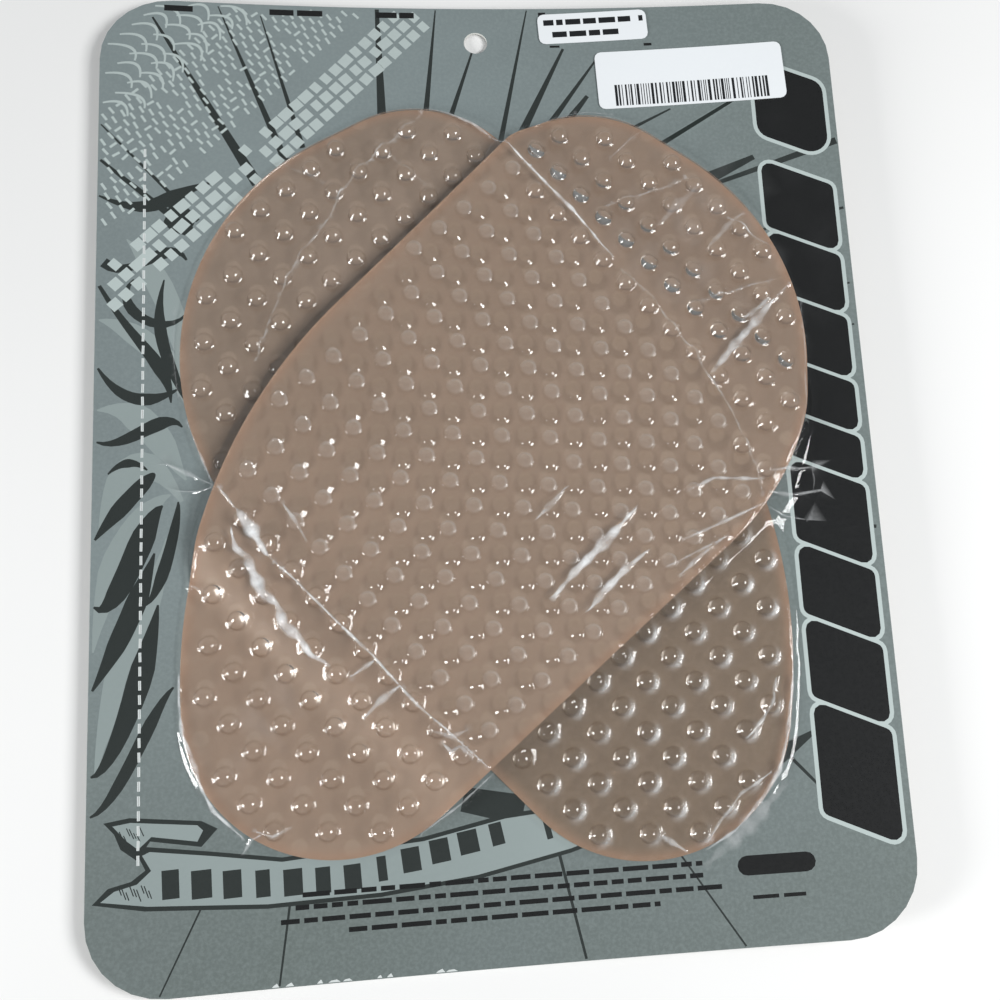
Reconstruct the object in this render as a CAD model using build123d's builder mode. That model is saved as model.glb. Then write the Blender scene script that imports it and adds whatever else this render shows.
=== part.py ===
# A carded pair of clear studded traction pads: a printed card with a hang hole, two mirrored
# pads crossed one over the other on their release liners, a clear skin film bonded over
# everything, and two stickers on the film.
#
# Frame: +Z out of the card's printed face, +Y towards the hang hole, +X to the reader's right.
# The origin is the centre of the card's back. All lengths are in millimetres.

import os
from math import atan, cos, degrees, radians, sin

from build123d import *

os.makedirs("parts", exist_ok=True)

# Card
CARD_WIDTH = 215.9
CARD_HEIGHT = 279.4
CARD_THICKNESS = 0.7
CARD_CORNER_RADIUS = 20.0
HANG_HOLE_DIAMETER = 7.0
HANG_HOLE_DROP = 11.6  # from the card's top edge to the hole's centre

# Tear line: a row of slits beside the card's left edge
TEAR_LINE_X = -95.4
TEAR_LINE_TOP = 93.0
TEAR_LINE_BOTTOM = -108.0
SLIT_LENGTH = 2.4
SLIT_WIDTH = 0.35
SLIT_PITCH = 3.7

# Pad outline in the pad's own frame: X runs along the pad to its wide end, Y across it.
# Each corner of the outline is a point and the radius it is rounded to.
PAD_CORNERS = [(100.6, 67.3), (125.9, -68.5), (-159.5, -55.0), (-63.0, 59.5)]
PAD_CORNER_RADII = [33.5, 76.0, 40.5, 148.0]
PAD_REACH = 160.0  # longer and wider than any pad, for shapes that are trimmed to the outline

# Where each pad lies on the card: its middle, the angle of its long axis from +X, and its hand.
# The lower pad is the mirror image of the upper one.
UPPER_PLACE = (-1.0, -4.0)
UPPER_ANGLE = 42.5
UPPER_HAND = 1
LOWER_PLACE = (2.8, -5.0)
LOWER_ANGLE = 129.7
LOWER_HAND = -1

# Layers of one pad, from the card up
LINER_THICKNESS = 0.15
ADHESIVE_THICKNESS = 0.15
PAD_THICKNESS = 1.4
PAD_EDGE_RADIUS = 0.5
LAYER_GAP = 0.03  # between one layer and the next

# Studs: one square grid, turned a little from the pad's long axis
STUD_PITCH = 9.57
STUD_DIAMETER = 4.8
STUD_HEIGHT = 2.4
STUD_WALL = 0.5  # upright part of a stud, under its dome
STUD_ROOT = 0.9  # how far a stud runs down into the pad
STUD_EDGE_MARGIN = 4.2  # least distance from a stud's centre to the pad's edge
STUD_GRID_ANGLE = -2.5
STUD_GRID_OFFSET = (6.36, 3.16)

# The upper pad lies flat over the lower one and comes down to the card at both ends
PLATEAU_NARROW = 69.0  # from the upper pad's middle to where it starts down, at its narrow end
PLATEAU_WIDE = 71.0  # the same, at its wide end
SLOPE_LENGTH = 14.0

# Skin film
FILM_THICKNESS = 0.2
FILM_CLEARANCE = 0.3  # round the pads and over the studs

# Stickers
STICKER_THICKNESS = 0.15
STICKER_CORNER_RADIUS = 2.0
PART_LABEL_SIZE = (33.5, 10.0)
PART_LABEL_PLACE = (36.0, 133.1)
PART_LABEL_ANGLE = 2.4
BARCODE_LABEL_SIZE = (57.5, 19.0)
BARCODE_LABEL_PLACE = (64.9, 115.7)
BARCODE_LABEL_ANGLE = 1.8

# Worked out from the sizes above. The layers' heights are those of a pad that lies on the card.
hang_hole_y = CARD_HEIGHT / 2 - HANG_HOLE_DROP
slit_count = round((TEAR_LINE_TOP - TEAR_LINE_BOTTOM) / SLIT_PITCH)
liner_base = CARD_THICKNESS + LAYER_GAP
adhesive_base = liner_base + LINER_THICKNESS + LAYER_GAP
pad_base = adhesive_base + ADHESIVE_THICKNESS + LAYER_GAP
pad_top = pad_base + PAD_THICKNESS
stud_top = pad_top + STUD_HEIGHT
climb = stud_top + LAYER_GAP - liner_base  # how much higher the upper pad lies in the middle
film_base = CARD_THICKNESS + LAYER_GAP
sticker_base = film_base + FILM_THICKNESS

upper_plane = Plane(
    origin=(*UPPER_PLACE, 0),
    x_dir=(cos(radians(UPPER_ANGLE)), sin(radians(UPPER_ANGLE)), 0),
    z_dir=(0, 0, 1),
)
lower_plane = Plane(
    origin=(*LOWER_PLACE, 0),
    x_dir=(cos(radians(LOWER_ANGLE)), sin(radians(LOWER_ANGLE)), 0),
    z_dir=(0, 0, 1),
)
upper_side_plane = Plane(upper_plane.origin, x_dir=upper_plane.x_dir, z_dir=-upper_plane.y_dir)


def pad_outline(hand, grow=0.0):
    """One pad's outline in its own frame, made larger all round by grow."""
    with BuildSketch() as outline:
        with BuildLine():
            FilletPolyline(
                *[(along, hand * across) for along, across in PAD_CORNERS],
                radius=PAD_CORNER_RADII,
                close=True,
            )
        make_face()
        if grow:
            offset(amount=grow)
    return outline.sketch


def stud_places(hand):
    """Centres of the studs that fit inside one pad's outline, in the pad's own frame."""
    field = pad_outline(hand, -STUD_EDGE_MARGIN).face()
    steps = range(-round(PAD_REACH / STUD_PITCH), round(PAD_REACH / STUD_PITCH) + 1)
    turn = radians(STUD_GRID_ANGLE)
    places = []
    for column in steps:
        for row in steps:
            u = column * STUD_PITCH + STUD_GRID_OFFSET[0]
            v = row * STUD_PITCH + STUD_GRID_OFFSET[1]
            place = (u * cos(turn) - v * sin(turn), hand * (u * sin(turn) + v * cos(turn)))
            if field.is_inside((*place, 0)):
                places.append(place)
    return places


def wave(base, top, base_climb):
    """Side view of a layer that lies over the lower pad: X runs along the pad and Y is height.

    The layer spans the heights base to top at its ends. In the middle its base lies higher by
    base_climb and its top by climb, and each eases from one height to the other.
    """
    foot_narrow = -PLATEAU_NARROW - SLOPE_LENGTH
    foot_wide = PLATEAU_WIDE + SLOPE_LENGTH
    middle_base = base + base_climb
    onward = (1, 0)
    back = (-1, 0)
    with BuildSketch() as side_view:
        with BuildLine():
            Line((-PAD_REACH, base), (foot_narrow, base))
            Spline((foot_narrow, base), (-PLATEAU_NARROW, middle_base), tangents=(onward, onward))
            Line((-PLATEAU_NARROW, middle_base), (PLATEAU_WIDE, middle_base))
            Spline((PLATEAU_WIDE, middle_base), (foot_wide, base), tangents=(onward, onward))
            Line((foot_wide, base), (PAD_REACH, base))
            Line((PAD_REACH, base), (PAD_REACH, top))
            Line((PAD_REACH, top), (foot_wide, top))
            Spline((foot_wide, top), (PLATEAU_WIDE, top + climb), tangents=(back, back))
            Line((PLATEAU_WIDE, top + climb), (-PLATEAU_NARROW, top + climb))
            Spline((-PLATEAU_NARROW, top + climb), (foot_narrow, top), tangents=(back, back))
            Line((foot_narrow, top), (-PAD_REACH, top))
            Line((-PAD_REACH, top), (-PAD_REACH, base))
        make_face()
    return side_view.sketch


def seat_on_wave(along, across):
    """Where a stud stands on the upper pad: its place, its height, and its lean down the slope."""
    if along < 0:
        past = (-along - PLATEAU_NARROW) / SLOPE_LENGTH
        downhill = -1
    else:
        past = (along - PLATEAU_WIDE) / SLOPE_LENGTH
        downhill = 1
    past = min(max(past, 0.0), 1.0)
    height = climb * (1 - 3 * past**2 + 2 * past**3)
    steepness = climb * 6 * past * (1 - past) / SLOPE_LENGTH
    return Location((along, across, height), (0, downhill * degrees(atan(steepness)), 0))


def draped_layer(base, thickness, grow=0.0, base_climb=climb):
    """A layer with the upper pad's outline that follows the upper pad over the lower one.

    With a base_climb of 0 its underside is flat, so it fills the space down to the card.
    """
    with BuildPart() as layer:
        with BuildSketch(upper_side_plane):
            add(wave(base, base + thickness, base_climb))
        extrude(amount=PAD_REACH / 2, both=True)
        with BuildSketch(upper_plane):
            add(pad_outline(UPPER_HAND, grow))
        extrude(amount=base + thickness + climb + STUD_HEIGHT, mode=Mode.INTERSECT)
    return layer


# One stud, standing on the height 0
with BuildPart() as stud:
    with BuildSketch(Plane.XZ):
        with BuildLine():
            Line((0, -STUD_ROOT), (STUD_DIAMETER / 2, -STUD_ROOT))
            Line((STUD_DIAMETER / 2, -STUD_ROOT), (STUD_DIAMETER / 2, STUD_WALL))
            dome = TangentArc((0, STUD_HEIGHT), (STUD_DIAMETER / 2, STUD_WALL), tangent=(1, 0))
            Line(dome @ 0, (0, -STUD_ROOT))
        make_face()
    revolve(axis=Axis.Z)


# Backing card
with BuildPart() as backing_card:
    with BuildSketch():
        RectangleRounded(CARD_WIDTH, CARD_HEIGHT, CARD_CORNER_RADIUS)
        with Locations((0, hang_hole_y)):
            Circle(HANG_HOLE_DIAMETER / 2, mode=Mode.SUBTRACT)
        with Locations((TEAR_LINE_X, (TEAR_LINE_TOP + TEAR_LINE_BOTTOM) / 2)):
            with GridLocations(SLIT_PITCH, SLIT_PITCH, 1, slit_count):
                Rectangle(SLIT_WIDTH, SLIT_LENGTH, mode=Mode.SUBTRACT)
    extrude(amount=CARD_THICKNESS)
backing_card.part.label = "backing_card"
export_step(backing_card.part, "parts/backing_card.step")


# Release liner and adhesive of the lower pad
with BuildPart() as lower_liner:
    with BuildSketch(lower_plane.offset(liner_base)):
        add(pad_outline(LOWER_HAND))
    extrude(amount=LINER_THICKNESS)
lower_liner.part.label = "lower_liner"
export_step(lower_liner.part, "parts/lower_liner.step")

with BuildPart() as lower_adhesive:
    with BuildSketch(lower_plane.offset(adhesive_base)):
        add(pad_outline(LOWER_HAND))
    extrude(amount=ADHESIVE_THICKNESS)
lower_adhesive.part.label = "lower_adhesive"
export_step(lower_adhesive.part, "parts/lower_adhesive.step")


# Lower pad: a flat sheet with a rounded top edge, and its studs
with BuildPart() as lower_pad:
    with BuildSketch(lower_plane.offset(pad_base)):
        add(pad_outline(LOWER_HAND))
    extrude(amount=PAD_THICKNESS)
    fillet(lower_pad.faces().sort_by(Axis.Z)[-1].edges(), PAD_EDGE_RADIUS)
    with Locations(lower_plane.offset(pad_top)):
        with Locations(*stud_places(LOWER_HAND)):
            add(stud.part)
lower_pad.part.label = "lower_pad"
export_step(lower_pad.part, "parts/lower_pad.step")


# Release liner and adhesive of the upper pad
upper_liner = draped_layer(liner_base, LINER_THICKNESS)
upper_liner.part.label = "upper_liner"
export_step(upper_liner.part, "parts/upper_liner.step")

upper_adhesive = draped_layer(adhesive_base, ADHESIVE_THICKNESS)
upper_adhesive.part.label = "upper_adhesive"
export_step(upper_adhesive.part, "parts/upper_adhesive.step")


# Upper pad: the draped sheet, and its studs square to the sheet where they stand
upper_sheet = draped_layer(pad_base, PAD_THICKNESS)
with BuildPart() as upper_pad:
    add(upper_sheet.part)
    with Locations(upper_plane.offset(pad_top)):
        with Locations(*[seat_on_wave(*place) for place in stud_places(UPPER_HAND)]):
            add(stud.part)
upper_pad.part.label = "upper_pad"
export_step(upper_pad.part, "parts/upper_pad.step")


# Skin film: a flange bonded to the card, and a hood over both pads. The hood is the space that
# the pads stand in, grown by the film's thickness, with that space taken out of it again.
hood_roof = stud_top + FILM_CLEARANCE
hood_grow = FILM_CLEARANCE + FILM_THICKNESS
hood_over_upper = draped_layer(film_base, hood_roof + FILM_THICKNESS - film_base, hood_grow, 0)
space_over_upper = draped_layer(0, hood_roof, FILM_CLEARANCE, 0)
with BuildPart() as skin_film:
    with BuildSketch(Plane.XY.offset(film_base)):
        RectangleRounded(CARD_WIDTH, CARD_HEIGHT, CARD_CORNER_RADIUS)
    extrude(amount=FILM_THICKNESS)
    with BuildSketch(lower_plane.offset(film_base)):
        add(pad_outline(LOWER_HAND, hood_grow))
    extrude(amount=hood_roof + FILM_THICKNESS - film_base)
    add(hood_over_upper.part)
    add(space_over_upper.part, mode=Mode.SUBTRACT)
    with BuildSketch(lower_plane):
        add(pad_outline(LOWER_HAND, FILM_CLEARANCE))
    extrude(amount=hood_roof, mode=Mode.SUBTRACT)
    with Locations((0, hang_hole_y, sticker_base)):
        Hole(HANG_HOLE_DIAMETER / 2)
skin_film.part.label = "skin_film"
export_step(skin_film.part, "parts/skin_film.step")


# Stickers
for name, size, place, angle in [
    ("part_label", PART_LABEL_SIZE, PART_LABEL_PLACE, PART_LABEL_ANGLE),
    ("barcode_label", BARCODE_LABEL_SIZE, BARCODE_LABEL_PLACE, BARCODE_LABEL_ANGLE),
]:
    with BuildPart() as sticker:
        with BuildSketch(Plane.XY.offset(sticker_base)):
            with Locations(Location((*place, 0), (0, 0, angle))):
                RectangleRounded(*size, STICKER_CORNER_RADIUS)
        extrude(amount=STICKER_THICKNESS)
    sticker.part.label = name
    export_step(sticker.part, f"parts/{name}.step")
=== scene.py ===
import random
from math import atan2, cos, pi, radians, sin, sqrt, tan

import bpy
import numpy as np
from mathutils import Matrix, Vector
from mathutils.geometry import delaunay_2d_cdt


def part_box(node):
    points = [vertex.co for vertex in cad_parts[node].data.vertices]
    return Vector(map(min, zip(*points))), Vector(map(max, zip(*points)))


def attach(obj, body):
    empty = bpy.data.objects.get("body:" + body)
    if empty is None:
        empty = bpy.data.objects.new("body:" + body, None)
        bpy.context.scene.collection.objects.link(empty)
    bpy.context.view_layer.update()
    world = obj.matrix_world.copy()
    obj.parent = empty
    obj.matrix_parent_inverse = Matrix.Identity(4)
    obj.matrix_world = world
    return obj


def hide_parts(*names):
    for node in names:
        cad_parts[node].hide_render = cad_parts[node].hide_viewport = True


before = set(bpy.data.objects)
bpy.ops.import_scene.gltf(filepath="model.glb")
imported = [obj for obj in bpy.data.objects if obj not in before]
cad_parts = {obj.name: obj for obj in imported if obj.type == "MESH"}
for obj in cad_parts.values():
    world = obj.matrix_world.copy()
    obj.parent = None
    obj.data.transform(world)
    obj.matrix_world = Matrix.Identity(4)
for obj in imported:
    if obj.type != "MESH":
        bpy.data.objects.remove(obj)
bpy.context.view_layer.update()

# A carded pair of clear studded traction pads under a skin film. Shapes are worked out flat, in
# millimetres, with the card's back at height 0, and every mesh is then bowed and put into metres.
MM = 0.001
SEED = 11

# Card
CARD_WIDTH = 215.9
CARD_HEIGHT = 279.4
CARD_CORNER = 20.0
HOLE_RADIUS = 3.5
HOLE_DROP = 11.6
TEAR_X = -95.4
TEAR_TOP = 93.0
TEAR_BOTTOM = -108.0
SLIT_LENGTH = 2.4
SLIT_WIDTH = 0.08
SLIT_PITCH = 3.7

# The card lies a little bowed: its side edges stand clear of the floor
BOW_HEIGHT = 5.0
BOW_REACH = 108.0
BOW_LOWEST_X = -22.0

# Pads
PAD_CORNERS = [(100.6, 67.3), (125.9, -68.5), (-159.5, -55.0), (-63.0, 59.5)]
PAD_CORNER_RADII = [33.5, 76.0, 40.5, 148.0]
UPPER = {"place": (-1.0, -4.0), "angle": 42.5, "hand": 1}
LOWER = {"place": (2.8, -5.0), "angle": 129.7, "hand": -1}
STUD_PITCH = 9.57
STUD_RADIUS = 2.4
STUD_HEIGHT = 2.4
STUD_WALL = 0.5
STUD_FOOT_RADIUS = 2.95
FLATTENED_SHARE = 0.30
STUD_MARGIN = 4.2
GRID_ANGLE = -2.5
GRID_OFFSET = (6.36, 3.16)
PLATEAU_NARROW = 69.0
PLATEAU_WIDE = 71.0
SLOPE = 14.0
PAD_EDGE_RADIUS = 0.5


def top_of(node):
    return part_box(node)[1].z / MM


def base_of(node):
    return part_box(node)[0].z / MM


card_top = top_of("backing_card")
liner_base = base_of("lower_liner")
liner_top = top_of("lower_liner")
adhesive_base = base_of("lower_adhesive")
adhesive_top = top_of("lower_adhesive")
pad_base = base_of("lower_pad")
pad_top = top_of("lower_pad") - STUD_HEIGHT
climb = top_of("upper_pad") - top_of("lower_pad")
hole_y = CARD_HEIGHT / 2 - HOLE_DROP
dice = random.Random(SEED)


# ---------------------------------------------------------------- plane geometry
def bow(x):
    return BOW_HEIGHT * ((x - BOW_LOWEST_X) / BOW_REACH) ** 2


def rounded(corners, radii, step=2.0):
    """A closed outline, counterclockwise, from its corners and the radius of each."""
    pts = [np.array(c, float) for c in corners]
    out = []
    for i, p in enumerate(pts):
        a = pts[i - 1] - p
        b = pts[(i + 1) % len(pts)] - p
        a /= np.hypot(*a)
        b /= np.hypot(*b)
        half = np.arccos(np.clip(a @ b, -1, 1)) / 2
        r = radii[i]
        centre = p + (a + b) / np.hypot(*(a + b)) * r / sin(half)
        start = p + a * r / tan(half) - centre
        end = p + b * r / tan(half) - centre
        a0 = atan2(start[1], start[0])
        turn = (atan2(end[1], end[0]) - a0 + pi) % (2 * pi) - pi
        n = max(3, int(abs(turn) * r / step))
        for k in range(n + 1):
            th = a0 + turn * k / n
            out.append(centre + r * np.array([cos(th), sin(th)]))
    out = fill_in(np.array(out), step)
    return out if area(out) > 0 else out[::-1]


def area(poly):
    x, y = poly[:, 0], poly[:, 1]
    return 0.5 * np.sum(x * np.roll(y, -1) - y * np.roll(x, -1))


def fill_in(poly, step):
    """The closed outline again, with points no further apart than step."""
    out = []
    for a, b in zip(poly, np.roll(poly, -1, 0)):
        length = np.hypot(*(b - a))
        if length < 1e-6:
            continue
        n = max(1, int(np.ceil(length / step)))
        out.extend(a + (b - a) * k / n for k in range(n))
    return np.array(out)


def along(points, step):
    """An open line again, with points about step apart."""
    pts = np.array(points, float)
    d = np.r_[0, np.cumsum(np.hypot(*np.diff(pts, axis=0).T))]
    n = max(2, int(d[-1] / step) + 1)
    s = np.linspace(0, d[-1], n)
    return np.c_[np.interp(s, d, pts[:, 0]), np.interp(s, d, pts[:, 1])]


def inside(poly, p):
    x, y = p[:, 0], p[:, 1]
    odd = np.zeros(len(p), bool)
    for (x1, y1), (x2, y2) in zip(poly, np.roll(poly, -1, 0)):
        if y1 == y2:
            continue
        cross = ((y1 > y) != (y2 > y)) & (x < (x2 - x1) * (y - y1) / (y2 - y1) + x1)
        odd ^= cross
    return odd


def line_distance(line, p, closed=False):
    best = np.full(len(p), 1e9)
    a = line if closed else line[:-1]
    b = np.roll(line, -1, 0) if closed else line[1:]
    for s, e in zip(a, b):
        d = e - s
        length2 = d @ d
        if length2 < 1e-12:
            continue
        t = np.clip(((p - s) @ d) / length2, 0, 1)
        q = p - s - t[:, None] * d
        best = np.minimum(best, q[:, 0] ** 2 + q[:, 1] ** 2)
    return np.sqrt(best)


def ease(t):
    t = np.clip(t, 0, 1)
    return t * t * (3 - 2 * t)


def to_card(p, pad):
    a = radians(pad["angle"])
    p = np.asarray(p, float)
    return np.c_[
        p[:, 0] * cos(a) - p[:, 1] * sin(a) + pad["place"][0],
        p[:, 0] * sin(a) + p[:, 1] * cos(a) + pad["place"][1],
    ]


def to_pad(p, pad):
    a = radians(-pad["angle"])
    x = p[:, 0] - pad["place"][0]
    y = p[:, 1] - pad["place"][1]
    return np.c_[x * cos(a) - y * sin(a), x * sin(a) + y * cos(a)]


def own_outline(hand, step=1.6):
    return rounded([(u, hand * v) for u, v in PAD_CORNERS], PAD_CORNER_RADII, step)


def stud_places(hand):
    outline = own_outline(hand)
    reach = range(-17, 18)
    t = radians(GRID_ANGLE)
    u = np.array([c * STUD_PITCH + GRID_OFFSET[0] for c in reach for _ in reach])
    v = np.array([r * STUD_PITCH + GRID_OFFSET[1] for _ in reach for r in reach])
    p = np.c_[u * cos(t) - v * sin(t), hand * (u * sin(t) + v * cos(t))]
    keep = inside(outline, p) & (line_distance(outline, p, True) >= STUD_MARGIN)
    return p[keep]


def wave(u):
    """How much higher the upper pad lies than it would on the card, along its own length."""
    past = np.where(u < 0, (-u - PLATEAU_NARROW) / SLOPE, (u - PLATEAU_WIDE) / SLOPE)
    return climb * (1 - ease(past))


for pad in (UPPER, LOWER):
    pad["outline"] = to_card(own_outline(pad["hand"]), pad)
    if area(pad["outline"]) < 0:
        pad["outline"] = pad["outline"][::-1]
    pad["studs"] = to_card(stud_places(pad["hand"]), pad)

# Lower studs that lie well under the upper pad show as soft bumps in it. The bumps are drawn this far
# from the studs; the offset is a match of looks, and what causes it is not known.
BUMP_SHIFT = (-5.7, -0.7)
bumps = LOWER["studs"] + np.array(BUMP_SHIFT)
under = inside(UPPER["outline"], bumps)
under &= line_distance(UPPER["outline"], bumps, True) > 3.0
bumps = bumps[under]
BUMP_CAP_RADIUS = 1.95
BUMP_CAP_EDGE = 1.3
BUMP_FADE = 1.6
UNDERSIDE_BUMP_SHARE = 0.16


def bump_profile(r):
    cap = np.minimum(r, BUMP_CAP_EDGE)
    drop = BUMP_CAP_RADIUS - np.sqrt(BUMP_CAP_RADIUS**2 - cap**2)
    slope = BUMP_CAP_EDGE / sqrt(BUMP_CAP_RADIUS**2 - BUMP_CAP_EDGE**2)
    t = np.clip((r - BUMP_CAP_EDGE) / BUMP_FADE, 0, 1)
    fade = slope * BUMP_FADE * (t - t**3 + t**4 / 2)
    total = BUMP_CAP_RADIUS - sqrt(BUMP_CAP_RADIUS**2 - BUMP_CAP_EDGE**2)
    total += slope * BUMP_FADE * 0.5
    return np.maximum(total - drop - fade, 0)


def nearest(points, p, block=4000):
    """Distance from each of p to the nearest of points, and which one that is."""
    d = np.empty(len(p))
    k = np.empty(len(p), int)
    for s in range(0, len(p), block):
        q = p[s:s + block]
        e = (q[:, None, 0] - points[None, :, 0]) ** 2 + (q[:, None, 1] - points[None, :, 1]) ** 2
        k[s:s + block] = e.argmin(1)
        d[s:s + block] = np.sqrt(e.min(1))
    return d, k


def drape(p, bump_share=1.0):
    """Extra height of the upper pad's layers at points p: the wave, and bumps over lower studs."""
    u = to_pad(p, UPPER)[:, 0]
    lift = wave(u)
    d, _ = nearest(bumps, p)
    return lift + bump_share * bump_profile(d) * np.clip(lift / climb, 0, 1)


dome_radius = (STUD_RADIUS**2 + (STUD_HEIGHT - STUD_WALL) ** 2) / (2 * (STUD_HEIGHT - STUD_WALL))


def stud_profile(r):
    dome = STUD_HEIGHT - dome_radius + np.sqrt(np.maximum(dome_radius**2 - r**2, 0))
    foot = STUD_WALL * np.clip((STUD_FOOT_RADIUS - r) / (STUD_FOOT_RADIUS - STUD_RADIUS), 0, 1) ** 3
    return np.where(r < STUD_RADIUS - 0.02, dome, foot)


# Upper studs over the lower pad are drawn flatter and duller
on_lower = inside(LOWER["outline"], UPPER["studs"])
on_lower &= line_distance(LOWER["outline"], UPPER["studs"], True) > 4.0
UPPER["stud_scale"] = np.where(on_lower, FLATTENED_SHARE, 1.0)
LOWER["stud_scale"] = np.ones(len(LOWER["studs"]))


def edge_drop(d):
    d = np.clip(d, 0, PAD_EDGE_RADIUS)
    return PAD_EDGE_RADIUS - np.sqrt(PAD_EDGE_RADIUS**2 - (PAD_EDGE_RADIUS - d) ** 2)


def pad_surface(p, pad, with_drape):
    """Height of a pad's top, studs included, at points p inside its outline."""
    z = np.full(len(p), pad_top)
    z -= edge_drop(line_distance(pad["outline"], p, True))
    d, k = nearest(pad["studs"], p)
    z += stud_profile(d) * pad["stud_scale"][k] * (d < STUD_FOOT_RADIUS)
    if with_drape:
        z += drape(p)
    return z


# ---------------------------------------------------------------- meshes
def grid_points(poly, step, margin):
    lo, hi = poly.min(0), poly.max(0)
    x = np.arange(lo[0], hi[0], step)
    y = np.arange(lo[1], hi[1], step)
    gx, gy = np.meshgrid(x, y)
    gx[1::2] += step / 2
    p = np.c_[gx.ravel(), gy.ravel()]
    p = p[inside(poly, p)]
    return p[line_distance(poly, p, True) > margin]


def inset_ring(poly, d):
    e = np.roll(poly, -1, 0) - np.roll(poly, 1, 0)
    n = np.c_[-e[:, 1], e[:, 0]] / np.hypot(e[:, 0], e[:, 1])[:, None]
    return poly + n * d


def rings(centres, radii, count):
    """The centres, and rings of points round each of them."""
    th = np.arange(count) * 2 * pi / count
    out = [centres]
    for i, r in enumerate(radii):
        a = th + (i % 2) * pi / count
        out.append((centres[:, None] + r * np.stack([np.cos(a), np.sin(a)], -1)[None]).reshape(-1, 2))
    return np.concatenate(out)


def triangulate(outline, points, shapes=(), holes=()):
    """Triangles inside the outline. Returns the points, the triangles, and the shape of each.

    A shape's number is that of the last one that covers the triangle, or -1.
    """
    verts = [Vector(v) for v in np.concatenate([outline, points])]
    faces = [list(range(len(outline)))]
    for poly in [*shapes, *holes]:
        start = len(verts)
        verts += [Vector(v) for v in poly]
        faces.append(list(range(start, start + len(poly))))
    out_verts, _, out_faces, _, _, from_faces = delaunay_2d_cdt(verts, [], faces, 1, 1e-5, True)
    p = np.array([tuple(v) for v in out_verts])
    tris, kinds = [], []
    first_hole = 1 + len(shapes)
    for face, source in zip(out_faces, from_faces):
        if 0 not in source or any(s >= first_hole for s in source):
            continue
        tris.append(face)
        kinds.append(max(source) - 1)
    tris = np.array(tris)
    a, b, c = p[tris[:, 0]], p[tris[:, 1]], p[tris[:, 2]]
    turn = (b[:, 0] - a[:, 0]) * (c[:, 1] - a[:, 1]) - (b[:, 1] - a[:, 1]) * (c[:, 0] - a[:, 0])
    tris[turn < 0] = tris[turn < 0][:, ::-1]
    used = np.unique(tris)
    remap = np.full(len(p), -1)
    remap[used] = np.arange(len(used))
    return p[used], remap[tris], np.array(kinds)


def boundary(tris):
    """Directed edges that only one triangle uses."""
    e = np.concatenate([tris[:, [0, 1]], tris[:, [1, 2]], tris[:, [2, 0]]])
    seen = {}
    for a, b in e.tolist():
        seen[(a, b)] = True
    return [(a, b) for a, b in seen if (b, a) not in seen]


def mesh_object(name, co, faces, materials, attrs, index=None, sharp=None):
    """A smooth-shaded object, bowed and put into metres, with its materials and point values."""
    co[:, 2] += bow(co[:, 0])
    mesh = bpy.data.meshes.new(name)
    mesh.from_pydata((co * MM).tolist(), [], faces)
    for m in materials:
        mesh.materials.append(m)
    if index is not None:
        mesh.polygons.foreach_set("material_index", index.astype(np.int32))
    for key, values in attrs.items():
        layer = mesh.attributes.new(key, "FLOAT", "POINT")
        layer.data.foreach_set("value", values.astype(np.float32))
    mesh.polygons.foreach_set("use_smooth", np.ones(len(faces), bool))
    if sharp is not None:
        mesh.set_sharp_from_angle(angle=radians(sharp))
    mesh.validate()
    mesh.update()
    obj = bpy.data.objects.new(name, mesh)
    bpy.context.scene.collection.objects.link(obj)
    return obj


def solid(name, top, bottom, materials, kinds=None, rim_kind=0, back_kind=0, attrs=None, sharp=40):
    """A closed solid between two surfaces. Each surface is (points, triangles, heights).

    With one triangulation for both, bottom is just its heights. Otherwise the two share outline points.
    """
    p, tris, z = top
    n = len(p)
    if isinstance(bottom, tuple):
        q, low_tris, low_z = bottom
        key = {tuple(np.round(v, 4)): i for i, v in enumerate(q)}
        partner = {i: key.get(tuple(np.round(p[i], 4))) for i in {a for e in boundary(tris) for a in e}}
        missing = [i for i, v in partner.items() if v is None]
        if missing:
            raise ValueError(f"{name}: {len(missing)} outline points have no partner")
    else:
        q, low_tris, low_z = p, tris, bottom
        partner = None
    co = np.concatenate([np.c_[p, z], np.c_[q, low_z]])
    rim = []
    for a, b in boundary(tris):
        c = (partner[b] if partner else b) + n
        d = (partner[a] if partner else a) + n
        rim.append((b, a, d, c))
    faces = [tuple(t) for t in tris.tolist()]
    faces += [tuple(t[::-1]) for t in (low_tris + n).tolist()]
    faces += rim
    index = None
    if kinds is not None:
        index = np.full(len(faces), rim_kind)
        index[: len(tris)] = kinds
        index[len(tris): len(tris) + len(low_tris)] = back_kind
    values = {key: np.concatenate(pair) for key, pair in (attrs or {}).items()}
    return mesh_object(name, co, faces, materials, values, index, sharp)


def ready(obj, body, node):
    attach(obj, body)
    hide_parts(node)
    return obj


# ---------------------------------------------------------------- colours and materials
def srgb(code):
    out = []
    for i in (0, 2, 4):
        c = int(code[i:i + 2], 16) / 255
        out.append(c / 12.92 if c <= 0.04045 else ((c + 0.055) / 1.055) ** 2.4)
    return (*out, 1.0)


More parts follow.
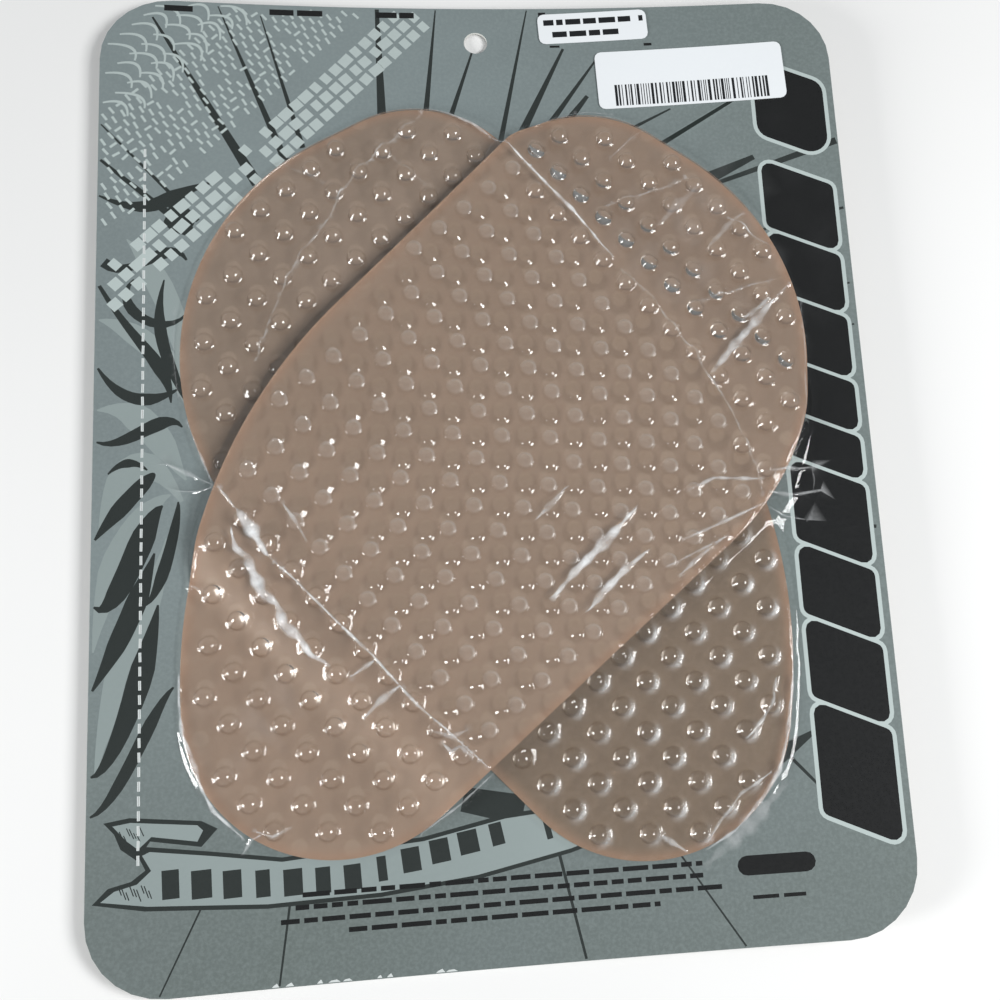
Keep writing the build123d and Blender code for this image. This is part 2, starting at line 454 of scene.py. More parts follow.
class Nodes:
    """A short way to write a material's nodes."""

    def __init__(self, name):
        self.mat = bpy.data.materials.new(name)
        self.mat.use_nodes = True
        self.tree = self.mat.node_tree
        self.tree.nodes.clear()
        self.out = self.add("ShaderNodeOutputMaterial")

    def add(self, kind):
        return self.tree.nodes.new(kind)

    def put(self, node, socket, value):
        if isinstance(value, bpy.types.NodeSocket):
            self.tree.links.new(value, node.inputs[socket])
        else:
            node.inputs[socket].default_value = value

    def spot(self):
        return self.add("ShaderNodeTexCoord").outputs["Object"]

    def noise(self, scale, detail=4.0, rough=0.55, vector=None, distortion=0.0):
        n = self.add("ShaderNodeTexNoise")
        self.put(n, "Vector", vector or self.spot())
        settings = {"Scale": scale, "Detail": detail, "Roughness": rough, "Distortion": distortion}
        for key, v in settings.items():
            self.put(n, key, v)
        return n.outputs["Fac"]

    def spread(self, value, low, high, to_low=0.0, to_high=1.0):
        n = self.add("ShaderNodeMapRange")
        n.interpolation_type = "SMOOTHSTEP"
        self.put(n, "Value", value)
        for key, v in (("From Min", low), ("From Max", high), ("To Min", to_low), ("To Max", to_high)):
            self.put(n, key, v)
        return n.outputs["Result"]

    def math(self, kind, a, b=0.0):
        n = self.add("ShaderNodeMath")
        n.operation = kind
        self.put(n, 0, a)
        self.put(n, 1, b)
        return n.outputs[0]

    def mix(self, fac, a, b):
        n = self.add("ShaderNodeMix")
        n.data_type = "RGBA"
        self.put(n, "Factor", fac)
        self.put(n, 6, a)
        self.put(n, 7, b)
        return n.outputs[2]

    def bump(self, height, strength, distance):
        n = self.add("ShaderNodeBump")
        self.put(n, "Height", height)
        self.put(n, "Strength", strength)
        self.put(n, "Distance", distance)
        return n.outputs["Normal"]

    def xyz(self, vector):
        n = self.add("ShaderNodeSeparateXYZ")
        self.put(n, 0, vector)
        return [n.outputs[axis] for axis in "XYZ"]

    def blend(self, fac, a, b):
        n = self.add("ShaderNodeMixShader")
        for k, v in enumerate((fac, a, b)):
            self.put(n, k, v)
        return n.outputs[0]

    def attribute(self, name):
        n = self.add("ShaderNodeAttribute")
        n.attribute_name = name
        return n.outputs["Fac"]

    def principled(self, **values):
        n = self.add("ShaderNodeBsdfPrincipled")
        for key, v in values.items():
            self.put(n, key.replace("_", " "), v)
        return n

    def paper(self, tone, rough, gloss, grain, strength, depth):
        """Ends a material for board or paper, with a fine grain."""
        p = self.principled(Base_Color=tone, Roughness=rough)
        self.put(p, "Specular IOR Level", gloss)
        self.put(p, "Normal", self.bump(grain, strength, depth))
        return self.finish(p.outputs[0])

    def finish(self, shader):
        self.tree.links.new(shader, self.out.inputs["Surface"])
        return self.mat


def board(name, colour, vary=0.10, rough=0.62, gloss=0.35):
    """Printed card: an even ink with faint mottling, scuffs and a paper grain."""
    n = Nodes(name)
    spot = n.spot()
    broad = n.spread(n.noise(9.0, 3.0, 0.5, spot), 0.3, 0.7)
    fine = n.noise(900.0, 2.0, 0.6, spot)
    dark = tuple(c * (1 - vary) for c in colour[:3]) + (1,)
    light = tuple(min(1, c * (1 + vary)) for c in colour[:3]) + (1,)
    tone = n.mix(broad, dark, light)
    tone = n.mix(n.spread(fine, 0.35, 0.75, 0.0, 0.25), tone, light)
    scuff = n.spread(n.noise(60.0, 8.0, 0.75, spot, 1.5), 0.66, 0.78, 0.0, 0.35)
    worn = tuple(min(1, c * 1.5 + 0.004) for c in colour[:3]) + (1,)
    tone = n.mix(scuff, tone, worn)
    return n.paper(tone, n.spread(fine, 0.2, 0.8, rough - 0.08, rough + 0.08), gloss, fine, 0.25, 0.00006)


def shade_by_place(n, spot, inner, outer):
    """Darker to the card's edges and corners than at its middle left."""
    x, y, _ = n.xyz(spot)
    right = n.spread(x, -0.03, 0.11)
    low = n.spread(y, -0.02, -0.135)
    fac = n.math("MAXIMUM", n.math("MULTIPLY", right, 0.7), low)
    return n.mix(fac, inner, outer)


def card_ground():
    n = Nodes("card_ground")
    spot = n.spot()
    tone = shade_by_place(n, spot, srgb("8b9798"), srgb("69736f"))
    broad = n.spread(n.noise(7.0, 4.0, 0.6, spot, 0.8), 0.3, 0.7, 0.0, 0.5)
    tone = n.mix(broad, tone, srgb("757f80"))
    fine = n.noise(1100.0, 2.0, 0.6, spot)
    tone = n.mix(n.spread(fine, 0.3, 0.8, 0.0, 0.22), tone, srgb("a3afae"))
    scuff = n.spread(n.noise(45.0, 9.0, 0.78, spot, 2.0), 0.67, 0.80, 0.0, 0.4)
    tone = n.mix(scuff, tone, srgb("b4bfbd"))
    return n.paper(tone, n.spread(fine, 0.2, 0.8, 0.5, 0.66), 0.35, fine, 0.2, 0.00006)


def disc_field(n, spot, pad, shift, radius, soft):
    """1 inside discs on the pad's stud grid, moved by shift on the card, and 0 outside."""
    hand = pad["hand"]
    turn = radians(pad["angle"]) + radians(GRID_ANGLE) * hand
    x, y, _ = n.xyz(spot)
    x = n.math("SUBTRACT", x, (pad["place"][0] + shift[0]) * MM)
    y = n.math("SUBTRACT", y, (pad["place"][1] + shift[1]) * MM)
    c, s = cos(turn), sin(turn)
    u = n.math("ADD", n.math("MULTIPLY", x, c), n.math("MULTIPLY", y, s))
    v = n.math("SUBTRACT", n.math("MULTIPLY", y, c), n.math("MULTIPLY", x, s))
    pitch = STUD_PITCH * MM
    off = (GRID_OFFSET[0] * MM, GRID_OFFSET[1] * MM * hand)
    cells = []
    for value, o in ((u, off[0]), (v, off[1])):
        t = n.math("DIVIDE", n.math("SUBTRACT", value, o), pitch)
        t = n.math("FRACT", n.math("ADD", t, 100.5))
        t = n.math("MULTIPLY", n.math("SUBTRACT", t, 0.5), STUD_PITCH)
        cells.append(n.math("MULTIPLY", t, t))
    r = n.math("SQRT", n.math("ADD", cells[0], cells[1]))
    return n.spread(r, radius + soft, radius - soft)


def liner_material(name, pad, upper):
    n = Nodes(name)
    spot = n.spot()
    x, y, _ = n.xyz(spot)
    if upper:
        tone = n.mix(n.spread(x, -0.05, 0.08), srgb("ceb39f"), srgb("c0a896"))
    else:
        tone = n.mix(n.spread(y, 0.03, -0.04), srgb("c5b0a0"), srgb("9b8874"))
    cloud = n.spread(n.noise(28.0, 4.0, 0.55, spot, 0.6), 0.3, 0.72, 0.0, 0.45)
    tone = n.mix(cloud, tone, srgb("b49d8a") if upper else srgb("9d8a77"))
    # Painted light: a paler disc on the liner beside each stud, standing in for light that the clear dome
    # focuses onto it
    painted_light_disc = disc_field(n, spot, pad, (-0.2, 2.7), 2.1, 0.45)
    if not upper:
        painted_light_disc = n.math("MULTIPLY", painted_light_disc, n.spread(y, -0.02, 0.03))
    tone = n.mix(n.math("MULTIPLY", painted_light_disc, 0.38), tone, srgb("dfcab8"))
    if upper:
        # Painted light: a paler disc on the upper liner beside each bump over a lower stud
        painted_light_disc = disc_field(n, spot, LOWER, (BUMP_SHIFT[0] - 0.1, BUMP_SHIFT[1] + 2.6), 2.2, 0.4)
        shown = n.attribute("over_lower")
        tone = n.mix(n.math("MULTIPLY", n.math("MULTIPLY", painted_light_disc, shown), 0.75), tone, srgb("dcc3ae"))
        # Painted shade: a darker ring round each bump
        ring = disc_field(n, spot, LOWER, (BUMP_SHIFT[0], BUMP_SHIFT[1] + 1.2), 3.4, 0.9)
        tone = n.mix(n.math("MULTIPLY", n.math("MULTIPLY", ring, shown), 0.3), tone, srgb("8d7561"))
    # Painted light: a lighter peach band along the pad's edge, where the edge catches the light
    tone = n.mix(n.math("MULTIPLY", n.attribute("rim"), 0.55), tone, srgb("d9ad90"))
    fine = n.noise(700.0, 2.0, 0.6, spot)
    tone = n.mix(n.spread(fine, 0.3, 0.8, 0.0, 0.12), tone, srgb("e0cdbc"))
    return n.paper(tone, n.spread(fine, 0.2, 0.8, 0.42, 0.58), 0.3, fine, 0.2, 0.00005)


def clear_pad_material(name):
    """Clear soft plastic. Lamps shine straight through it, so that what lies under it is lit."""
    n = Nodes(name)
    spot = n.spot()
    # Milky and rougher where the studs are pressed dull, and milkier still on a painted lit rim
    dull_and_lit_rim = n.attribute("dull_and_lit_rim")
    fine = n.noise(420.0, 3.0, 0.6, spot)
    white_and_sheen = n.principled(Base_Color=(0.62, 0.57, 0.53, 1), Roughness=0.4)
    smear = n.spread(n.noise(35.0, 5.0, 0.6, spot, 1.0), 0.45, 0.8, 0.0, 0.05)
    rough = n.math("ADD", n.math("MULTIPLY", dull_and_lit_rim, 0.40), n.math("ADD", smear, 0.03))
    # Painted shade: the clear plastic is tinted darker round each stud's foot
    tint = n.mix(n.attribute("foot"), (1.0, 0.985, 0.965, 1), (0.50, 0.44, 0.39, 1))
    p = n.principled(Base_Color=tint, Roughness=rough)
    n.put(p, "Transmission Weight", 1.0)
    n.put(p, "IOR", 1.45)
    n.put(p, "Normal", n.bump(fine, 0.18, 0.00004))
    clear = n.add("ShaderNodeBsdfTransparent")
    n.put(clear, "Color", (0.98, 0.97, 0.96, 1))
    path = n.add("ShaderNodeLightPath")
    misty = n.blend(dull_and_lit_rim, p.outputs[0], white_and_sheen.outputs[0])
    return n.finish(n.blend(path.outputs["Is Shadow Ray"], misty, clear.outputs[0]))


def thin_clear(name, tint, rough, haze=0.0, white=None, bump_strength=0.0):
    """A thin clear skin: see-through, with gloss by angle, and milky where it is creased and where painted
    highlights and reflections are laid in.
    """
    n = Nodes(name)
    spot = n.spot()
    clear = n.add("ShaderNodeBsdfTransparent")
    n.put(clear, "Color", tint)
    gloss = n.add("ShaderNodeBsdfGlossy")
    smear = n.noise(55.0, 6.0, 0.6, spot, 1.2)
    n.put(gloss, "Roughness", n.spread(smear, 0.3, 0.8, rough, rough + 0.05))
    n.put(gloss, "Color", (1, 1, 1, 1))
    if bump_strength:
        ripple = n.noise(130.0, 3.0, 0.5, spot, 1.5)
        normal = n.bump(ripple, bump_strength, 0.0005)
        n.put(gloss, "Normal", normal)
    facing = n.add("ShaderNodeLayerWeight").outputs["Facing"]
    grazing = n.math("MULTIPLY", n.math("POWER", facing, 5.0), 0.96)
    skin = n.blend(n.math("ADD", grazing, 0.04), clear.outputs[0], gloss.outputs[0])
    if white is None and not haze:
        return n.finish(skin)
    white_and_sheen = n.principled(Base_Color=(0.93, 0.95, 0.96, 1), Roughness=0.3)
    streak = n.noise(260.0, 4.0, 0.65, spot, 0.8)
    fac = n.math("MULTIPLY", n.attribute(white), n.spread(streak, 0.28, 0.62, 0.55, 1.0))
    fac = n.math("ADD", fac, haze)
    return n.finish(n.blend(fac, skin, white_and_sheen.outputs[0]))


# ---------------------------------------------------------------- the card's print
PALE, MID, DARK, BLACK, WHITE = 1, 2, 3, 4, 5
print_shapes = []
print_kinds = []


def ink(poly, kind):
    poly = np.array(poly, float)
    if area(poly) < 0:
        poly = poly[::-1]
    print_shapes.append(poly)
    print_kinds.append(kind)


def bar(x, y, w, h, angle=0.0):
    a = radians(angle)
    out = []
    for u, v in ((-w / 2, -h / 2), (w / 2, -h / 2), (w / 2, h / 2), (-w / 2, h / 2)):
        out.append((x + u * cos(a) - v * sin(a), y + u * sin(a) + v * cos(a)))
    return out


def wedge(a, b, wa, wb):
    a, b = np.array(a, float), np.array(b, float)
    d = (b - a) / np.hypot(*(b - a))
    n = np.array([-d[1], d[0]])
    return [a + n * wa / 2, a - n * wa / 2, b - n * wb / 2, b + n * wb / 2]


def swoosh(points, widths):
    """A curved blade along a line, as wide as widths say."""
    pts = np.array(points, float)
    t = np.linspace(0, 1, len(pts))
    s = np.linspace(0, 1, 14)
    if len(pts) >= 3:
        order = min(3, len(pts) - 1)
        line = np.stack([np.polyval(np.polyfit(t, pts[:, k], order), s) for k in (0, 1)], 1)
    else:
        line = np.c_[np.interp(s, t, pts[:, 0]), np.interp(s, t, pts[:, 1])]
    w = np.interp(s, np.linspace(0, 1, len(widths)), widths)
    d = np.gradient(line, axis=0)
    n = np.c_[-d[:, 1], d[:, 0]] / np.hypot(d[:, 0], d[:, 1])[:, None]
    return np.concatenate([line + n * w[:, None] / 2, (line - n * w[:, None] / 2)[::-1]])


def capsule(x, y, length, width, angle):
    a = radians(angle)
    out = []
    for side in (1, -1):
        for k in range(7):
            th = -pi / 2 + pi * k / 6
            u = side * (length / 2 + width / 2 * cos(th))
            v = side * width / 2 * sin(th)
            out.append((x + u * cos(a) - v * sin(a), y + u * sin(a) + v * cos(a)))
    return out


def trim_to_card(poly, margin=0.25):
    """The outline with its points drawn in to the card's straight sides."""
    p = np.array(poly, float)
    p[:, 0] = np.clip(p[:, 0], -CARD_WIDTH / 2 + margin, CARD_WIDTH / 2 - margin)
    p[:, 1] = np.clip(p[:, 1], -CARD_HEIGHT / 2 + margin, CARD_HEIGHT / 2 - margin)
    return p


card_outline = rounded(
    [(-CARD_WIDTH / 2, -CARD_HEIGHT / 2), (CARD_WIDTH / 2, -CARD_HEIGHT / 2),
     (CARD_WIDTH / 2, CARD_HEIGHT / 2), (-CARD_WIDTH / 2, CARD_HEIGHT / 2)],
    [CARD_CORNER] * 4, 4.0)


def on_card(poly, margin=0.3):
    p = np.array(poly, float)
    return bool(np.all(inside(card_outline, p)) and np.all(line_distance(card_outline, p, True) > margin))


# Broad soft blades of lighter grey at the left
for pts, widths in [
    ([(-100, 64), (-92, 52), (-86, 36), (-84, 20)], [0.3, 7, 6, 0.4]),
    ([(-107, 40), (-98, 36), (-88, 26), (-82, 10)], [0.3, 6, 7, 0.4]),
    ([(-107, 14), (-97, 12), (-90, 4), (-84, -6)], [0.4, 8, 7, 0.5]),
    ([(-106, -20), (-101, -6), (-94, -2), (-85, -12)], [0.4, 7, 8, 1]),
    ([(-107, -52), (-102, -30), (-95, -16), (-88, -10)], [0.4, 8, 6, 0.4]),
    ([(-106, -84), (-100, -58), (-93, -38), (-89, -22)], [0.4, 8, 6, 0.4]),
]:
    ink(trim_to_card(swoosh(pts, widths)), MID)
# Dark blades between them
for pts, widths in [
    ([(-107.5, 77), (-96, 74), (-88, 77), (-77, 82)], [0.5, 3.5, 4.5, 0.5]),
    ([(-88, 78), (-86, 70), (-86, 66)], [1.0, 9, 3]),
    ([(-106, 57), (-98, 56), (-90, 60), (-84, 58)], [3, 2.2, 3.5, 0.6]),
    ([(-98, 52), (-99, 44), (-92, 39), (-84, 42)], [0.5, 3, 2.6, 0.4]),
    ([(-107, 50), (-98, 36), (-91, 26), (-88, 16)], [1.0, 2.4, 4.0, 0.4]),
    ([(-90, 52), (-91, 38), (-88, 26), (-83, 14)], [0.4, 3.4, 3.0, 0.4]),
    ([(-107, 26), (-101, 19), (-94, 17), (-86, 20)], [0.6, 2.8, 3.6, 0.4]),
    ([(-107, 5), (-99, 6), (-91, 10), (-85, 9)], [0.5, 3.0, 4.0, 0.4]),
    ([(-104, -4), (-99, -1), (-94, -3)], [0.4, 2.6, 0.4]),
    ([(-107, -22), (-101, -14), (-95, -7), (-92, -4)], [0.6, 4.5, 4.0, 0.5]),
    ([(-107, -40), (-101, -36), (-95, -22), (-90, -13)], [0.5, 5.5, 6.5, 0.5]),
    ([(-94, -40), (-90, -32), (-87, -20), (-86, -12)], [0.4, 3.4, 2.6, 0.4]),
    ([(-107, -62), (-101, -50), (-96, -38), (-92, -26)], [0.6, 5.0, 5.5, 0.5]),
    ([(-107, -84), (-101, -76), (-95, -58), (-91, -40)], [0.5, 4.0, 6.5, 0.5]),
    ([(-107, -94), (-100, -86), (-93, -72), (-87, -62)], [0.5, 3.0, 3.4, 0.5]),
]:
    ink(trim_to_card(swoosh(pts, widths)), DARK)

# Rays that spread out from behind the pads
for a, b, wa, wb in [
    ((-93.7, 134), (-64.6, 81.7), 0.6, 3.2), ((-75.4, 138.6), (-56.7, 89.2), 0.3, 2.2),
    ((-63.3, 136), (-51.7, 93.3), 0.3, 1.6), ((-29.2, 139.2), (-28.7, 104.0), 1.2, 2.6),
    ((-11.7, 139.2), (-15.8, 104.0), 0.4, 1.7), ((-1.2, 125.0), (-8.3, 104.0), 0.6, 1.5),
    ((-107.3, 99), (-81, 70), 0.4, 1.3), ((-107.3, 88), (-82, 66), 0.8, 2.6),
    ((16, 139.2), (6, 95), 0.4, 1.6), ((26.5, 126), (11, 95), 0.8, 2.6),
    ((37, 123), (19, 98), 0.5, 2.0), ((33, 110), (26, 101), 1.2, 2.4),
    ((58, 105), (44, 98), 0.5, 1.2), ((88, 113.5), (52, 92), 0.8, 1.6),
    ((82, 88), (64, 80), 1.6, 4.5), ((107.4, 92), (64, 78), 2.2, 1.2),
    ((107.4, 70), (77, 63), 0.8, 0.8), ((106.8, 46), (86, 42), 0.6, 0.6), ((106.8, 33), (90, 31), 0.5, 0.5),
    ((-61, -139.2), (-56, -104), 0.5, 0.7), ((17.5, -139.2), (9.4, -100), 0.7, 0.9),
    ((74, -88), (95, -112), 1.0, 0.5), ((70, -92), (84, -84), 6.0, 1.0),
    ((106.8, -28), (86, -24), 1.0, 0.8), ((-13, -96), (3, -100), 6.5, 8.0),
    ((-90, -139.0), (-74, -106), 0.4, 0.5), ((60, -139.2), (44, -114), 0.5, 0.5),
]:
    ink(trim_to_card(wedge(a, b, wa, wb)), DARK)

# A diagonal band of small blocks, a field of dashes, and curved ticks in the corner
band_way = np.array([-83.4, -85.0]) / np.hypot(83.4, 85.0)
band_side = np.array([-band_way[1], band_way[0]])
band_start = np.array([-20.0, 138.0])
for i in range(31):
    for row in (-1.5, -0.5, 0.5):
        if dice.random() < 0.1:
            continue
        c = band_start + band_way * (i * 4.15 + dice.uniform(-0.3, 0.3)) - band_side * row * 4.2
        w = dice.choice([3.2, 3.2, 3.9, 2.6])
        poly = bar(c[0], c[1], w, 3.1, 45 + dice.uniform(-4, 4))
        if on_card(poly):
            ink(poly, PALE)
for i in range(48):
    for row in range(11):
        if dice.random() < 0.14:
            continue
        c = band_start + band_way * (i * 3.0 + (row % 2) * 1.5 - 6)
        c = c + np.array([-1, 1]) / sqrt(2) * (10.5 + row * 2.55)
        turned = -52 if dice.random() < 0.82 else 40
        poly = bar(c[0] + dice.uniform(-0.3, 0.3), c[1], 2.3, 0.75, turned + dice.uniform(-8, 8))
        if on_card(poly):
            ink(poly, PALE)
for i in range(30):
    for row in range(5):
        c = band_start + band_way * (i * 4.6 + row * 2.2 + 6)
        c = c + np.array([-1, 1]) / sqrt(2) * (39.5 + row * 6.2)
        tip = c + np.array([dice.uniform(4.5, 6.5), dice.uniform(-1.2, 0.6)])
        end = tip + np.array([dice.uniform(0.6, 1.6), -dice.uniform(3.6, 5.2)])
        poly = swoosh([c, tip, end], [0.5, 0.95, 0.5])
        if on_card(poly):
            ink(poly, PALE)

# The column at the right: plain slanted blocks, with nothing cut in them
COLUMN_LEFT, COLUMN_RIGHT = 83.9, 104.9
SLANT_DROP = 9.6
OUTLINE_WIDTH = 1.15


def slanted(left, right, top, bottom, radius, grow=0.0):
    """A rounded block whose top and bottom slope down to the right, grown all round by grow."""
    k = SLANT_DROP / (COLUMN_RIGHT - COLUMN_LEFT)
    corners = []
    for x, y, sx, sy in (
        (left, bottom, -1, -1), (right, bottom, 1, -1), (right, top, 1, 1), (left, top, -1, 1),
    ):
        x2 = x + sx * grow
        corners.append((x2, y - (x2 - COLUMN_LEFT) * k + sy * grow * sqrt(1 + k * k)))
    return rounded(corners, [radius + grow] * 4, 1.2)


edges = [87.6, 64.8, 45.2, 25.0, 8.6, -5.8, -30.6, -51.8, -75.2, -107.0]
for top, bottom in zip(edges, edges[1:]):
    ink(slanted(COLUMN_LEFT, COLUMN_RIGHT, top - 0.55, bottom + 0.55, 2.4, OUTLINE_WIDTH), PALE)
for top, bottom in zip(edges, edges[1:]):
    ink(slanted(COLUMN_LEFT, COLUMN_RIGHT, top - 0.55, bottom + 0.55, 2.4), BLACK)
ink(slanted(COLUMN_LEFT, COLUMN_RIGHT, 121.0, 95.6, 5.0, OUTLINE_WIDTH), PALE)
ink(slanted(COLUMN_LEFT, COLUMN_RIGHT, 121.0, 95.6, 5.0), BLACK)

# A plain ribbon with a ragged tail, carrying plain bars
ribbon = [(-106.2, -115.6), (-93.7, -118.1), (-63.7, -120.0), (-35, -119.4), (-10, -116.9), (15, -111.9),
          (40, -104.5), (40, -92.5), (14, -99.4), (-2, -100.6), (-23.7, -105.0), (-60, -107.5), (-78, -104.6),
          (-94, -102.2), (-96.0, -103.2), (-93.6, -108.1), (-97.0, -110.6), (-102.5, -111.9)]
ink(ribbon, DARK)
inner = [(-104.2, -115.1), (-93.0, -117.0), (-63.7, -118.9), (-35, -118.3), (-10, -115.8), (15, -110.8),
         (39, -103.6), (39, -93.7), (14, -100.5), (-2, -101.8), (-23.7, -106.1), (-60, -108.6), (-78, -105.7),
         (-92.6, -103.6), (-94.4, -104.4), (-92.2, -108.3), (-95.6, -111.4), (-101.0, -112.7)]
ink(inner, MID)
tail = [(-103.8, -95.7), (-97.5, -94.8), (-80, -96.8), (-76, -99.0), (-80, -103.3), (-92.5, -101.0),
        (-95.6, -105.6), (-99.6, -102.5), (-101.2, -98.6)]
ink(tail, DARK)
ink([(-101.6, -96.6), (-97.3, -96.0), (-81, -97.8), (-79.6, -99.2), (-81, -101.9), (-92.2, -99.9),
     (-95.4, -102.8), (-98.3, -100.4)], MID)
for k in range(9):
    ink(bar(-99.6 + k * 0.9, -112.7 - (k % 3) * 0.7, 0.28, 2.2 + (k % 2), 20), DARK)
    ink(bar(-101.0 + k * 0.8, -98.3 - (k % 4) * 0.5, 0.25, 1.6 + (k % 3) * 0.6, 24), DARK)
for k, w in enumerate([4.2, 5.0, 4.6, 3.6, 4.8, 3.8, 4.4, 2.4, 4.8, 5.0, 5.2, 3.4]):
    x = -87.5 + k * 7.55
    y = -112.6 - 1.4 * sin((k - 1) * 0.42) + max(0, k - 6) * 1.15
    ink(bar(x, y, w, 7.2 - k * 0.12, 2 + max(0, k - 5) * 1.5), DARK)
ink(bar(9.0, -104.4, 1.6, 7.2, 12), DARK)

# Lines of plain bars where a pack has its words
for y, start, end in ((-117.2, -55, 50), (-120.3, -56.8, 51.3), (-123.6, -60.5, 55), (-126.8, -43.5, 38)):
    x = start
    while x < end:
        w = min(dice.uniform(2.6, 8.2), end - x)
        if w > 0.8:
            ink(bar(x + w / 2, y + 0.002 * x, w, 1.25, 0.1), BLACK)
        x += w + 1.1
for x, w in ((-86.5, 8.0), (-57.2, 7.0), (-49.0, 7.4), (-26.4, 6.2), (-20.4, 4.4)):
    ink(bar(x, 137.3, w, 1.9), BLACK)
ink(capsule(70.0, -118.6, 16.0, 5.2, 0), BLACK)
ink(bar(66.4, -126.9, 7.0, 1.0), BLACK)
ink(bar(74.2, -126.9, 6.0, 1.0), BLACK)
# Corner marks round the small sticker
for x, y, w, h in (
    (20.6, 138.0, 2.2, 0.9), (20.0, 136.2, 0.9, 3.0), (52.6, 127.0, 2.4, 0.9), (24.0, 126.8, 3.0, 0.7),
):
    ink(bar(x, y, w, h), BLACK)
# White fibre at the slits, and a few nicks in the bottom edge
slit_count = round((TEAR_TOP - TEAR_BOTTOM) / SLIT_PITCH)
slit_ys = [(TEAR_TOP + TEAR_BOTTOM) / 2 + (k - (slit_count - 1) / 2) * SLIT_PITCH for k in range(slit_count)]
for y in slit_ys:
    ink(bar(TEAR_X, y, 0.7, SLIT_LENGTH + 0.1, dice.uniform(-2, 2)), WHITE)
NICK_Y = -139.45
for x in (-62.0, -58.5, -51.0, -47.4, -44.1, -36.0, -33.4, -20.5, -17.6):
    w = dice.uniform(0.6, 1.6)
    tip = (x + w * 0.4, NICK_Y + dice.uniform(0.5, 1.1))
    ink([(x - w, NICK_Y), (x + w, NICK_Y), tip, (x - w * 0.5, NICK_Y + 0.45)], WHITE)

slits = [np.array(bar(TEAR_X, y, SLIT_WIDTH, SLIT_LENGTH)) for y in slit_ys]
circle = np.arange(40) * 2 * pi / 40
hang_hole = np.c_[HOLE_RADIUS * np.cos(circle), hole_y + HOLE_RADIUS * np.sin(circle)]

card_materials = [
    card_ground(),
    board("ink_pale", srgb("c3cfcd"), 0.06),
    board("ink_mid", srgb("9aa6a5"), 0.06),
    board("ink_dark", srgb("262d2b"), 0.12, 0.5, 0.25),
    board("ink_black", srgb("060708"), 0.15, 0.42, 0.2),
    board("bare_fibre", srgb("e6ebea"), 0.04, 0.8, 0.2),
    board("card_back_grey", srgb("b9b5ac"), 0.07, 0.8, 0.2),
    board("card_edge_fibre", srgb("d6d7d2"), 0.10, 0.85, 0.2),
]
card_points = grid_points(card_outline, 7.0, 3.0)
points, tris, kinds = triangulate(card_outline, card_points, print_shapes, [hang_hole, *slits])
colour = np.array([0, *print_kinds])[kinds + 1]
card_front = (points, tris, np.full(len(points), card_top))
backing_card = solid("backing_card_print", card_front, np.zeros(len(points)), card_materials, colour, 7, 6)
ready(backing_card, "card", "backing_card")

# ---------------------------------------------------------------- liners, adhesives and pads
STUD_RINGS = [0.5, 1.0, 1.45, 1.8, 2.08, 2.26, 2.37, 2.42, 2.52, 2.7, 2.95]
STUD_SIDES = 16


def fine_points(pad, step, extra=None):
    outline = pad["outline"]
    base = grid_points(outline, step, 1.1)
    d, _ = nearest(pad["studs"], base)
    base = base[d > 3.3]
    if extra is not None:
        e, _ = nearest(extra, base)
        base = base[e > 3.2]
    parts = [base, rings(pad["studs"], STUD_RINGS, STUD_SIDES)]
    if extra is not None:
        more = rings(extra, [0.45, 0.9, 1.3, 1.75, 2.25, 2.9], 12)
        d, _ = nearest(pad["studs"], more)
        more = more[(d > 3.25) & inside(outline, more)]
        parts.append(more[line_distance(outline, more, True) > 0.9])
    parts += [inset_ring(outline, d) for d in (0.07, 0.2, 0.4, 0.6)]
    return np.concatenate(parts)


def pad_layers(pad, prefix, draped):
    outline = pad["outline"]
    step = 1.25 if draped else 6.0
    bands = [inset_ring(outline, d) for d in (1.0, 2.2, 3.4)]
    q, low_tris, _ = triangulate(outline, np.concatenate([grid_points(outline, step, 4.2), *bands]))
    # How near the edge each point lies, for the painted light band along the liner's edge
    rim = ease(1 - line_distance(outline, q, True) / 3.4)
    rise = drape(q, UNDERSIDE_BUMP_SHARE) if draped else np.zeros(len(q))
    over = inside(LOWER["outline"], q).astype(float) if draped else np.zeros(len(q))
    liner = solid(prefix + "_liner_sheet", (q, low_tris, liner_top + rise), liner_base + rise,
                  [liner_material(prefix + "_liner", pad, draped)],
                  attrs={"over_lower": (over, over), "rim": (rim, rim)})
    ready(liner, prefix + "_liner", prefix + "_liner")
    glue = solid(prefix + "_adhesive_sheet", (q, low_tris, adhesive_top + rise), adhesive_base + rise,
                 [thin_clear(prefix + "_glue", (0.985, 0.975, 0.965, 1), 0.12)])
    ready(glue, prefix + "_pad", prefix + "_adhesive")
    fine = fine_points(pad, 1.6, bumps) if draped else fine_points(pad, 2.6)
    points, tris, _ = triangulate(outline, fine)
    z = pad_surface(points, pad, draped)
    d, k = nearest(pad["studs"], points)
    away = points - pad["studs"][k]
    # Flattened studs get a duller, milky top, and a painted lit rim that is milkier on the side towards 40
    # degrees
    lit_side = 0.5 + 0.5 * np.cos(np.arctan2(away[:, 1], away[:, 0]) - radians(40))
    ring = np.exp(-(((d - 1.9) / 0.32) ** 2))
    dull_and_lit_rim = (0.10 * (d < 1.9) + 0.36 * ring * lit_side) * (pad["stud_scale"][k] < 1)
    # Painted shade: a darker ring round each stud's foot, strongest on the side away from the light
    foot = np.exp(-(((d - 2.4) / 0.26) ** 2)) * (0.35 + 0.65 * (1 - lit_side)) * pad["stud_scale"][k]
    flat = np.zeros(len(q))
    body = solid(prefix + "_pad_moulding", (points, tris, z), (q, low_tris, pad_base + rise),
                 [clear_pad_material(prefix + "_clear")], attrs={"dull_and_lit_rim": (dull_and_lit_rim, flat), "foot": (foot, flat)},
                 sharp=55)
    ready(body, prefix + "_pad", prefix + "_pad")


